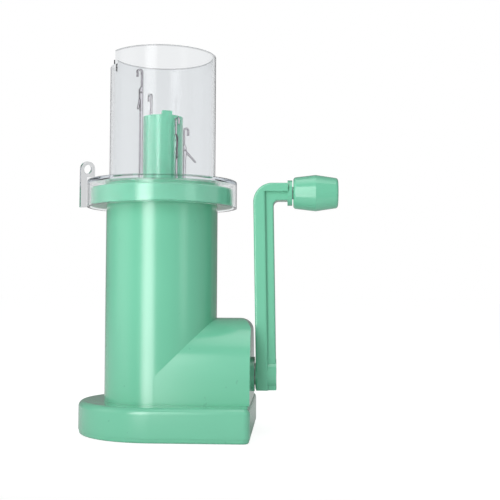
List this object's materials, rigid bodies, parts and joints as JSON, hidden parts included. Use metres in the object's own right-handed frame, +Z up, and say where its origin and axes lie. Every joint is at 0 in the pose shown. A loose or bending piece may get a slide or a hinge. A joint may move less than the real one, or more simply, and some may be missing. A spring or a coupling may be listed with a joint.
{
  "type": "hand crank cord knitting machine",
  "caption": "Upright tube with a side crank that turns a geared needle cylinder under a clear guard, so latch needles rise and fall on a slanted cam and knit a cord.",
  "frame": {"origin": "centre of the cord's way out, on the needle cylinder's axis in the plane that the machine stands on", "axes": "+Z up along the needle cylinder's axis, +X towards the crank, -Y towards the viewer of the picture"},
  "size_m": [0.1031, 0.0644, 0.15],
  "materials": {
    "mint_plastic": "glossy moulded mint green",
    "clear_plastic": "clear moulded plastic",
    "inner_plastic": "plain white moulding",
    "screw_steel": "plated",
    "needle_steel": "polished"
  },
  "bodies": {
    "frame": {"base_plinth": "mint_plastic", "bottom_cover": "mint_plastic", "base_screws": "screw_steel", "main_housing": "mint_plastic", "clear_cap": "clear_plastic", "lower_cam": "inner_plastic", "upper_cam": "inner_plastic", "top_bearing": "inner_plastic", "tail_bush": "inner_plastic", "axle_bush": "inner_plastic"},
    "crank": {"crank_arm": "mint_plastic", "crank_shaft": "screw_steel", "drive_gear": "inner_plastic", "gear_bolt": "screw_steel", "crank_screw": "screw_steel", "knob_pin": "screw_steel"},
    "knob": {"handle_knob": "mint_plastic"},
    "cylinder": {"needle_cylinder": "mint_plastic", "cylinder_gear": "inner_plastic", "gear_screws": "screw_steel"},
    "needle_one": {"needle_1": "needle_steel", "latch_rivet_1": "needle_steel"},
    "latch_one": {"latch_1": "needle_steel"},
    "needle_two": {"needle_2": "needle_steel", "latch_rivet_2": "needle_steel"},
    "latch_two": {"latch_2": "needle_steel"},
    "needle_three": {"needle_3": "needle_steel", "latch_rivet_3": "needle_steel"},
    "latch_three": {"latch_3": "needle_steel"},
    "needle_four": {"needle_4": "needle_steel", "latch_rivet_4": "needle_steel"},
    "latch_four": {"latch_4": "needle_steel"}
  },
  "joints": [
    {"name": "crank_spin", "type": "hinge", "parent": "frame", "child": "crank", "pos_m": [0.0364, 0, 0.023], "axis": [1, 0, 0], "continuous": true},
    {"name": "cylinder_spin", "type": "hinge", "parent": "frame", "child": "cylinder", "pos_m": [0, 0, 0.05], "axis": [0, 0, 1], "continuous": true},
    {"name": "knob_spin", "type": "hinge", "parent": "crank", "child": "knob", "pos_m": [0.0614, 0, 0.095], "axis": [1, 0, 0], "continuous": true},
    {"name": "needle_one_lift", "type": "slide", "parent": "cylinder", "child": "needle_one", "axis": [0, 0, 1], "range_m": [-0.003, 0.0218]},
    {"name": "latch_one_swing", "type": "hinge", "parent": "needle_one", "child": "latch_one", "pos_m": [0.00816, 0.00637, 0.1131], "axis": [0.6157, -0.788, 0], "range_deg": [-47, 106]},
    {"name": "needle_two_lift", "type": "slide", "parent": "cylinder", "child": "needle_two", "axis": [0, 0, 1], "range_m": [-0.0175, 0.0073]},
    {"name": "latch_two_swing", "type": "hinge", "parent": "needle_two", "child": "latch_two", "pos_m": [-0.00637, 0.00816, 0.1276], "axis": [0.788, 0.6157, 0], "range_deg": [-7, 146]},
    {"name": "needle_three_lift", "type": "slide", "parent": "cylinder", "child": "needle_three", "axis": [0, 0, 1], "range_m": [-0.0243, 0.0005]},
    {"name": "latch_three_swing", "type": "hinge", "parent": "needle_three", "child": "latch_three", "pos_m": [-0.00816, -0.00637, 0.1344], "axis": [-0.6157, 0.788, 0], "range_deg": [-7, 146]},
    {"name": "needle_four_lift", "type": "slide", "parent": "cylinder", "child": "needle_four", "axis": [0, 0, 1], "range_m": [-0.0048, 0.02]},
    {"name": "latch_four_swing", "type": "hinge", "parent": "needle_four", "child": "latch_four", "pos_m": [0.00637, -0.00816, 0.1149], "axis": [-0.788, -0.6157, 0], "range_deg": [-5, 148]}
  ],
  "couplings": [
    {"joint": "cylinder_spin", "follows": "crank_spin", "ratio": -1}
  ]
}
